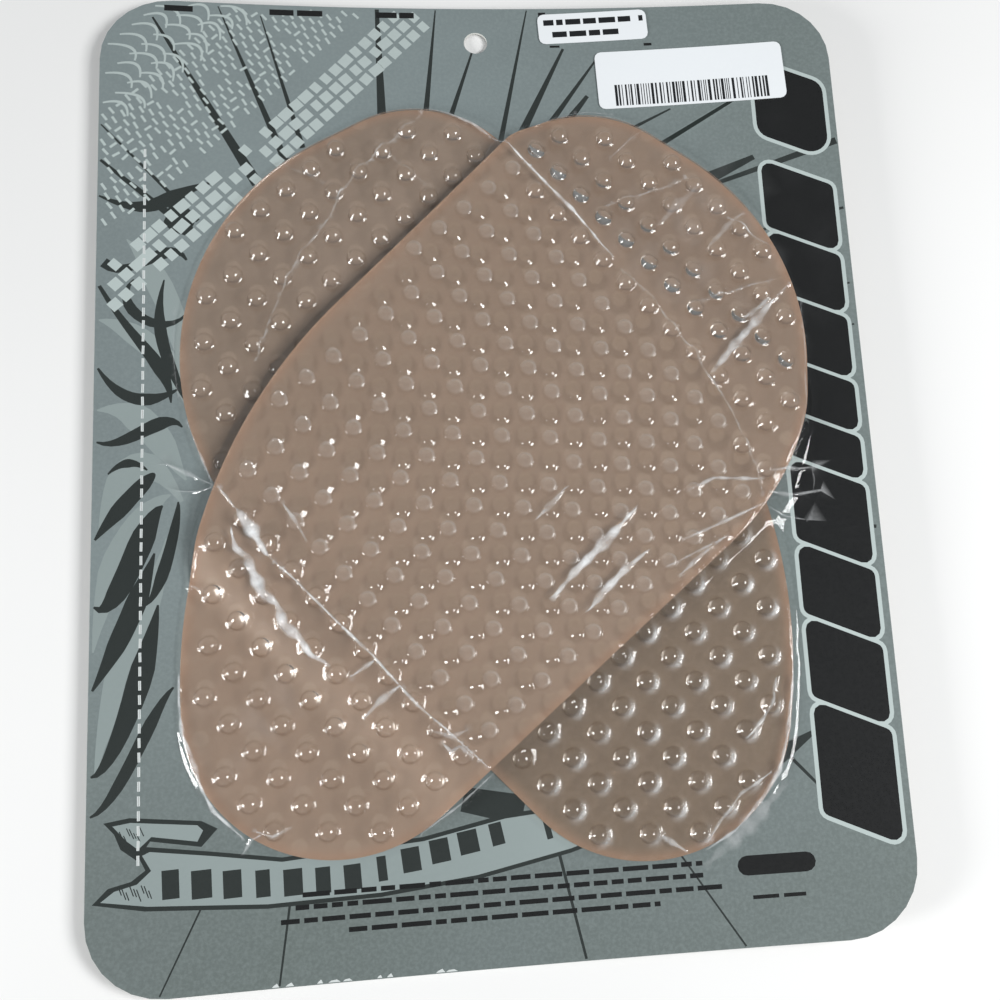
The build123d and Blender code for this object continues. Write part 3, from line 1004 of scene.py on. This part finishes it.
pad_layers(LOWER, "lower", False)
pad_layers(UPPER, "upper", True)

# ---------------------------------------------------------------- the skin film
CELL = 0.8
FILM_GAP = 0.05
ROUNDS = 500
gx = np.arange(-CARD_WIDTH / 2 - 2, CARD_WIDTH / 2 + 2, CELL)
gy = np.arange(-CARD_HEIGHT / 2 - 2, CARD_HEIGHT / 2 + 2, CELL)
cell_x, cell_y = np.meshgrid(gx, gy)
cells = np.c_[cell_x.ravel(), cell_y.ravel()]


def ground(p):
    """Height of whatever lies highest at points p: the card or a pad."""
    z = np.full(len(p), card_top)
    for pad, draped in ((LOWER, False), (UPPER, True)):
        hit = inside(pad["outline"], p)
        if hit.any():
            z[hit] = np.maximum(z[hit], pad_surface(p[hit], pad, draped))
    return z


def near_spot(p, x, y, reach):
    return np.exp(-((p[:, 0] - x) ** 2 + (p[:, 1] - y) ** 2) / reach**2)


obstacle = ground(cells).reshape(cell_x.shape)
pull = np.full(len(cells), 0.42)
# Where the film pulls down less: how much less, place and reach
for less, x, y, reach in (
    (0.10, 62, 62, 34),
    (0.30, -80, -8, 11),
    (0.34, 79, -20, 12),
    (0.25, 5, 94, 9),
    (0.25, -2, -92, 9),
    (0.22, 72, -92, 18),
    (0.18, -78, -86, 14),
):
    pull -= less * near_spot(cells, x, y, reach)
pull = np.maximum(pull, 0.03).reshape(cell_x.shape)
film_z = np.maximum(obstacle, card_top) + 1.2
for _ in range(ROUNDS):
    mean = np.roll(film_z, 1, 0) + np.roll(film_z, -1, 0)
    mean = 0.25 * (mean + np.roll(film_z, 1, 1) + np.roll(film_z, -1, 1))
    film_z = np.maximum(mean - pull * CELL * CELL / 4, obstacle + FILM_GAP)


def sample(field, p):
    i = np.clip((p[:, 0] - gx[0]) / CELL, 0, len(gx) - 1.001)
    j = np.clip((p[:, 1] - gy[0]) / CELL, 0, len(gy) - 1.001)
    i0, j0 = i.astype(int), j.astype(int)
    a, b = i - i0, j - j0
    return ((field[j0, i0] * (1 - a) + field[j0, i0 + 1] * a) * (1 - b)
            + (field[j0 + 1, i0] * (1 - a) + field[j0 + 1, i0 + 1] * a) * b)


def along_line(line, p):
    """Distance of each of p from an open line, and how far along the line it lies, from 0 to 1."""
    best = np.full(len(p), 1e9)
    part = np.zeros(len(p))
    steps = len(line) - 1
    for i in range(steps):
        d = line[i + 1] - line[i]
        t = np.clip(((p - line[i]) @ d) / max(d @ d, 1e-12), 0, 1)
        q = p - line[i] - t[:, None] * d
        r = q[:, 0] ** 2 + q[:, 1] ** 2
        closer = r < best
        best[closer] = r[closer]
        part[closer] = (i + t[closer]) / steps
    return np.sqrt(best), part


def wander(t, length, seeds):
    """A smooth random value from about -1 to 1 along a line."""
    s = t * length
    return (np.sin(s / 1.9 + seeds[0]) + np.sin(s / 3.3 + seeds[1]) + np.sin(s / 0.9 + seeds[2])) / 2.2


class CreaseAndGlint:
    """A fold or a stretch mark in the film, or a flat line of painted highlight along a rim: pointed at both
    ends and uneven in between.
    """

    def __init__(self, points, width, height, white_and_sheen):
        self.line = along(points, 0.9)
        self.width = width
        self.height = height
        self.white_and_sheen = white_and_sheen
        self.length = np.hypot(*np.diff(self.line, axis=0).T).sum()
        self.seeds = [dice.uniform(0, 6.28) for _ in range(6)]

    def half_width(self, t):
        taper = 0.3 + 0.7 * np.sin(pi * np.clip(t, 0.02, 0.98)) ** 0.8
        return self.width * taper * (1 + 0.4 * wander(t, self.length, self.seeds[:3]))

    def white_and_sheen_share(self, t):
        return self.white_and_sheen * np.clip(0.78 + 0.35 * wander(t, self.length, self.seeds[3:]), 0.15, 1)

    def mesh_points(self):
        t = np.linspace(0, 1, len(self.line))
        d = np.gradient(self.line, axis=0)
        n = np.c_[-d[:, 1], d[:, 0]] / np.maximum(np.hypot(d[:, 0], d[:, 1]), 1e-9)[:, None]
        w = self.half_width(t)[:, None]
        return np.concatenate([self.line + n * w * k for k in (-1.6, -0.8, 0.0, 0.8, 1.6)])


# Creases, and rim lines of painted highlight: points, half width, ridge height, and how milky or bright
creases_and_glints = [
    ([(8, 91.5), (11, 87.5), (18, 79), (26, 69.5), (36.5, 54.5)], 0.35, 0.45, 0.95),
    ([(39, 50), (46.5, 43), (51.5, 34), (58, 24.5), (61.5, 17), (64.5, 12.5), (67.5, 6), (70.5, -3.5),
      (72.5, -9.5), (74, -18.5)], 0.17, 0.3, 0.34),
    ([(-74, -10), (-70, -15.5), (-69, -16.5)], 0.21, 0.4, 0.59),
    ([(-69, -16.5), (-65.5, -22), (-62, -28.5)], 1.25, 0.5, 1),
    ([(-62, -28.5), (-54.5, -36), (-44, -47.5), (-35, -57), (-28.5, -65), (-23.5, -71), (-16.5, -77.5),
      (-6, -88)], 0.26, 0.4, 0.9),
    ([(-71, -22), (-70, -26.5), (-67, -29), (-65.5, -33.5), (-63, -39), (-59.5, -42), (-57.5, -48),
      (-54, -51), (-51, -56), (-47.5, -58)], 1, 0.5, 0.9),
    ([(-15, 106), (-20.5, 99.5), (-28.5, 92.5), (-35.5, 85.5), (-41, 78), (-44, 71), (-48.5, 64.5),
      (-52.5, 59.5), (-56, 52), (-59, 45), (-62, 37.5), (-65, 27.5)], 0.14, 0.25, 0.42),
    ([(83, 41), (72.5, 29.5), (63, 19)], 1, 0.4, 0.7),
    ([(89, 46.5), (83, 41)], 0.17, 0.3, 0.51),
    ([(82, 41.5), (74, 35.5)], 0.56, 0.35, 0.38),
    ([(57, 39), (67, 43), (76.5, 46), (84, 47.5)], 0.14, 0.25, 0.47),
    ([(35.5, 72), (44.5, 75.5), (53.5, 78), (60.5, 81)], 0.14, 0.25, 0.42),
    ([(72, 68), (77, 63.5), (83, 58)], 0.18, 0.3, 0.59),
    ([(38, 88), (45.5, 95), (49.5, 97.5)], 0.13, 0.2, 0.26),
    ([(65.5, 58.5), (72, 65.5), (76, 68.5)], 0.64, 0.3, 0.26),
    ([(51.5, 66.5), (57.5, 72.5), (63.5, 77.5)], 0.8, 0.3, 0.17),
    ([(14.5, -43), (20, -37), (29, -29), (37.5, -20.5)], 0.95, 0.5, 0.9),
    ([(23.5, -47.5), (28, -42.5), (34, -37), (40, -32.5)], 0.8, 0.45, 0.85),
    ([(10.5, -21.5), (15.5, -17), (18.5, -13.5)], 0.56, 0.4, 0.51),
    ([(49.5, -39), (55.5, -34), (61.5, -30)], 0.48, 0.35, 0.42),
    ([(53.5, -15.5), (60.5, -12.5), (73.5, -13.5)], 0.44, 0.4, 0.51),
    ([(51, -29.5), (61.5, -25.5), (74, -20.5)], 0.4, 0.4, 0.47),
    ([(45.5, -37), (53.5, -33.5), (62.5, -29.5)], 0.27, 0.35, 0.42),
    ([(75, -12), (82, -10.5), (90, -9.5)], 0.4, 0.4, 0.42),
    ([(77, -17.5), (83, -17.5), (92, -16.5)], 0.48, 0.4, 0.47),
    ([(75.5, -21), (81, -23.5), (88, -25)], 0.21, 0.3, 0.34),
    ([(90, -9.5), (90.5, -13), (90, -16)], 0.18, 0.25, 0.26),
    ([(-40.5, -62), (-35, -58.5)], 0.4, 0.4, 0.59),
    ([(-37.5, -73), (-33.5, -69), (-28.5, -65.5)], 0.56, 0.4, 0.51),
    ([(-57.5, -15), (-54.5, -19.5), (-52, -24.5)], 0.4, 0.35, 0.51),
    ([(-83, -35.5), (-81, -36), (-79, -37.5)], 0.24, 0.3, 0.59),
    ([(-69.5, -105.5), (-67.5, -102.5), (-65, -101.5)], 0.27, 0.3, 0.59),
    ([(-66, -100.5), (-61.5, -102), (-57.5, -100)], 0.4, 0.3, 0.51),
    ([(74, -69), (72.5, -74.5), (69, -80.5), (64.5, -84.5)], 0.48, 0.4, 0.51),
    ([(70, -94.5), (61.5, -99.5), (56, -105.5), (51.5, -111.5)], 0.4, 0.4, 0.51),
    ([(38.5, -108.5), (45.5, -113.5)], 0.48, 0.3, 0.42),
    ([(76.5, -81.5), (73.5, -91.5), (67.5, -101.5)], 0.4, 0.4, 0.47),
    ([(73.5, -98.5), (63.5, -107.5), (52.5, -116.5)], 1.76, 0.25, 0.26),
    ([(-89, -1.5), (-82, -5), (-77, -8)], 0.4, 0.35, 0.34),
    ([(-86.5, -9), (-81, -9.5), (-76, -9.5)], 0.21, 0.3, 0.34),
    ([(-17.5, -81), (-15.5, -83.5), (-13, -82), (-10, -85)], 0.48, 0.4, 0.59),
    ([(-19.5, -78), (-15, -79.5), (-11, -78)], 0.4, 0.3, 0.42),
    ([(-60, 88), (-50, 83.5), (-42.5, 80)], 0.12, 0.15, 0.17),
    ([(-30.5, 94.5), (-22.5, 86), (-15, 80)], 0.12, 0.15, 0.19),
    # Rims where the film comes down off the pads' edges: flat lines of painted highlight, with no ridge
    ([(-14, 105.5), (-9, 104), (-2, 100.5), (2.5, 96.5), (6.5, 92.5)], 0.4, 0, 0.68),
    ([(13.5, 98), (23, 102.5), (32, 104.5), (40.5, 103.5)], 0.18, 0, 0.38),
    ([(-85.5, -59.5), (-85.5, -65.5), (-84.5, -74.5), (-82, -81.5), (-80, -88), (-77, -94.5),
      (-70, -101.5)], 0.52, 0, 0.68),
    ([(-24, -104), (-14, -97.5), (-5.5, -90.5)], 0.27, 0, 0.51),
    ([(79.5, -61.5), (78.5, -70.5), (76, -83.5), (72.5, -94.5), (67, -101.5), (59.5, -109),
      (51.5, -113.5)], 0.48, 0, 0.59),
    ([(-83.5, 10), (-79, -2), (-76, -9)], 0.24, 0, 0.38),
    ([(91.5, 40.5), (91, 23), (89, 9), (84, -7)], 0.15, 0, 0.3),
    ([(-87, 44), (-87.5, 30), (-86, 16)], 0.13, 0, 0.21),
]
creases_and_glints = [CreaseAndGlint(*row) for row in creases_and_glints]
film_outline = fill_in(inset_ring(card_outline, 0.06), 4.0)
zone = np.minimum(
    np.where(inside(UPPER["outline"], cells), 0, line_distance(UPPER["outline"], cells, True)),
    np.where(inside(LOWER["outline"], cells), 0, line_distance(LOWER["outline"], cells, True)),
).reshape(cell_x.shape)
near = grid_points(film_outline, 1.15, 2.0)
near = near[sample(zone, near) < 7.0]
far = grid_points(film_outline, 6.0, 2.5)
far = far[sample(zone, far) > 8.0]
shown_low = LOWER["studs"][~inside(UPPER["outline"], LOWER["studs"])]
domes = np.concatenate([shown_low, UPPER["studs"][~on_lower]])
tops = np.concatenate([domes, bumps])
d, _ = nearest(tops, near)
near = near[d > 3.0]
dome_rings = rings(domes, [0.45, 0.9, 1.3, 1.65, 2.0, 2.35, 2.85], 14)
bump_rings = rings(bumps, [0.35, 0.7, 1.0, 1.3, 1.65, 2.1, 2.75], 14)
film_points = np.concatenate([near, dome_rings, bump_rings, far])
for c in creases_and_glints:
    film_points = film_points[line_distance(c.line, film_points) > c.width * 1.7 + 0.2]
line_points = np.concatenate([c.mesh_points() for c in creases_and_glints])
line_points = line_points[inside(film_outline, line_points)]
line_points = line_points[line_distance(film_outline, line_points, True) > 0.5]
line_points = np.unique(np.round(line_points / 0.12).astype(int), axis=0) * 0.12
film_points = np.concatenate([film_points, line_points])
film_points = film_points[np.hypot(film_points[:, 0], film_points[:, 1] - hole_y) > HOLE_RADIUS + 0.6]
p, tris, _ = triangulate(film_outline, film_points, (), [hang_hole])
white_and_sheen_mask = np.zeros(len(p))
ridge = np.zeros(len(p))
for c in creases_and_glints:
    box = (p > c.line.min(0) - 5).all(1) & (p < c.line.max(0) + 5).all(1)
    k = np.where(box)[0]
    d, t = along_line(c.line, p[k])
    reach = np.exp(-((d / (1.15 * c.half_width(t))) ** 4))
    white_and_sheen_mask[k] = np.maximum(white_and_sheen_mask[k], c.white_and_sheen_share(t) * reach)
    ridge[k] = np.maximum(ridge[k], c.height * reach)
# Where the film bridges from stud to pad at the lower right, a painted reflection of the right-hand lamp is
# laid in as a milky crescent beside each stud
d, k = nearest(shown_low, p)
offset = p - shown_low[k]
bearing = np.arctan2(offset[:, 1], offset[:, 0])
off_bearing = (bearing + radians(32) + pi) % (2 * pi) - pi
crescent = np.exp(-(((d - 2.85) / 0.75) ** 2) - (off_bearing / 0.85) ** 2)
strength = np.where((shown_low[:, 0] > 5) & (shown_low[:, 1] < -20), 0.5, 0.0)
strength *= np.array([dice.uniform(0.65, 1.25) for _ in shown_low])
white_and_sheen_mask = np.maximum(white_and_sheen_mask, crescent * strength[k])
# Faint whiter patches between the studs, over the upper right end and at the lower left
patch = np.sin(p[:, 0] * 0.31 + 1.3 * np.sin(p[:, 1] * 0.17))
patch = patch * np.sin(p[:, 1] * 0.27 + np.sin(p[:, 0] * 0.21))
whiter_patch_place = near_spot(p, 62, 62, 27) + near_spot(p, -62, -72, 16)
white_and_sheen_mask = np.maximum(white_and_sheen_mask, 0.06 * np.clip(patch, 0, 1) * whiter_patch_place)
on_pads = sample(zone, p)
wrinkle = np.zeros(len(p))
for _ in range(26):
    a = dice.uniform(0, 2 * pi)
    length = dice.uniform(6, 16)
    phase = dice.uniform(0, 2 * pi)
    cx, cy, reach = dice.uniform(-85, 85), dice.uniform(-105, 95), dice.uniform(14, 30)
    ripple = np.sin((p[:, 0] * cos(a) + p[:, 1] * sin(a)) * 2 * pi / length + phase)
    wrinkle += 0.05 * ripple * near_spot(p, cx, cy, reach)
wrinkle *= on_pads < 1.0
z = np.maximum(sample(film_z, p) + wrinkle, ground(p) + FILM_GAP) + ridge
lay_flat = on_pads > 7.5
z[lay_flat] = card_top + FILM_GAP + ridge[lay_flat]
film_clear = thin_clear("skin_film_clear", (0.975, 0.98, 0.98, 1), 0.045, 0.005, "white_and_sheen_mask", 0.10)
skin = mesh_object("skin_film_sheet", np.c_[p, z], tris.tolist(), [film_clear], {"white_and_sheen_mask": white_and_sheen_mask})
ready(skin, "film", "skin_film")

# ---------------------------------------------------------------- stickers
sticker_materials = [
    board("sticker_white", srgb("eef2f5"), 0.03, 0.45, 0.5),
    board("sticker_black", srgb("16181b"), 0.1, 0.4, 0.5),
    board("sticker_smudge", srgb("c2cbd4"), 0.05, 0.5, 0.4),
]


def sticker(name, node, size, angle, marks):
    lo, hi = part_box(node)
    cx, cy = (lo.x + hi.x) / 2 / MM, (lo.y + hi.y) / 2 / MM
    base, top = lo.z / MM, hi.z / MM
    w, h = size[0] / 2, size[1] / 2
    a = radians(angle)

    def turn(q):
        q = np.array(q, float)
        return np.c_[q[:, 0] * cos(a) - q[:, 1] * sin(a) + cx, q[:, 0] * sin(a) + q[:, 1] * cos(a) + cy]

    outline = turn(rounded([(-w, -h), (w, -h), (w, h), (-w, h)], [2.0] * 4, 1.0))
    shapes = [turn(m) for m, _ in marks]
    pts, t, kinds = triangulate(outline, grid_points(outline, 2.5, 1.0), shapes)
    tone = np.array([0, *[k for _, k in marks]])[kinds + 1]
    front = (pts, t, np.full(len(pts), top))
    obj = solid(name, front, np.full(len(pts), base), sticker_materials, tone)
    ready(obj, "film", node)


marks = []
for y, start, end in ((2.1, -15.0, 14.0), (-2.0, -12.6, 9.5)):
    x = start
    while x < end - 1:
        w = dice.uniform(2.0, 5.2)
        marks.append((bar(x + w / 2, y, min(w, end - x), 1.9), 1))
        x += w + 0.8
sticker("part_label_paper", "part_label", (33.5, 10.0), 2.4, marks)
marks = []
x = -23.6
while x < 23.4:
    w = dice.choice([0.28, 0.28, 0.55, 0.8])
    marks.append((bar(x + w / 2, -5.2, w, 7.0), 1))
    x += w + dice.choice([0.3, 0.3, 0.5, 0.75])
sticker("barcode_label_paper", "barcode_label", (57.5, 19.0), 1.8, marks)

# ---------------------------------------------------------------- floor, lights and camera
floor_mesh = bpy.data.meshes.new("floor")
R = 3.0
FLOOR_Z = -0.0003
floor_corners = [(-R, -R, FLOOR_Z), (R, -R, FLOOR_Z), (R, R, FLOOR_Z), (-R, R, FLOOR_Z)]
floor_mesh.from_pydata(floor_corners, [], [(0, 1, 2, 3)])
floor = bpy.data.objects.new("floor", floor_mesh)
bpy.context.scene.collection.objects.link(floor)
n = Nodes("floor_white")
spot = n.spot()
tone = n.mix(n.noise(6.0, 3.0, 0.5, spot), srgb("f4f4f3"), srgb("ededec"))
p_ = n.principled(Base_Color=tone, Roughness=0.7)
floor_mesh.materials.append(n.finish(p_.outputs[0]))


def lamp(name, way, distance, size, power):
    data = bpy.data.lights.new(name, "AREA")
    data.shape = "RECTANGLE"
    data.size, data.size_y = size
    data.energy = power
    obj = bpy.data.objects.new(name, data)
    bpy.context.scene.collection.objects.link(obj)
    way = Vector(way).normalized()
    obj.location = way * distance
    obj.rotation_euler = (-way).to_track_quat("-Z", "Y").to_euler()


lamp("left_soft", (-0.902, -0.295, 0.32), 0.85, (0.26, 0.30), 5.5)
lamp("right_soft", (0.715, -0.177, 0.678), 0.95, (0.44, 0.36), 7.8)
world = bpy.data.worlds.new("soft_room")
world.use_nodes = True
world.node_tree.nodes["Background"].inputs["Color"].default_value = (0.93, 0.97, 1.0, 1)
world.node_tree.nodes["Background"].inputs["Strength"].default_value = 0.26
bpy.context.scene.world = world

CAMERA_PLACE = (-7.74, -87.50, 313.04)
CAMERA_TURN = (10.88, -6.58, -3.79)
camera_data = bpy.data.cameras.new("camera")
camera = bpy.data.objects.new("camera", camera_data)
bpy.context.scene.collection.objects.link(camera)
camera.location = Vector(CAMERA_PLACE) * MM
camera.rotation_euler = [radians(a) for a in CAMERA_TURN]
camera_data.sensor_width = 36.0
camera_data.lens = 40.79
camera_data.shift_x = -0.1144
camera_data.shift_y = 0.0478
camera_data.clip_start = 0.01
bpy.context.scene.camera = camera
bpy.context.scene.view_settings.view_transform = "Standard"
cycles = bpy.context.scene.cycles
cycles.max_bounces = 7
cycles.diffuse_bounces = 2
cycles.glossy_bounces = 2
cycles.transmission_bounces = 5
cycles.transparent_max_bounces = 24
cycles.caustics_reflective = False
cycles.caustics_refractive = False
cycles.blur_glossy = 0.3
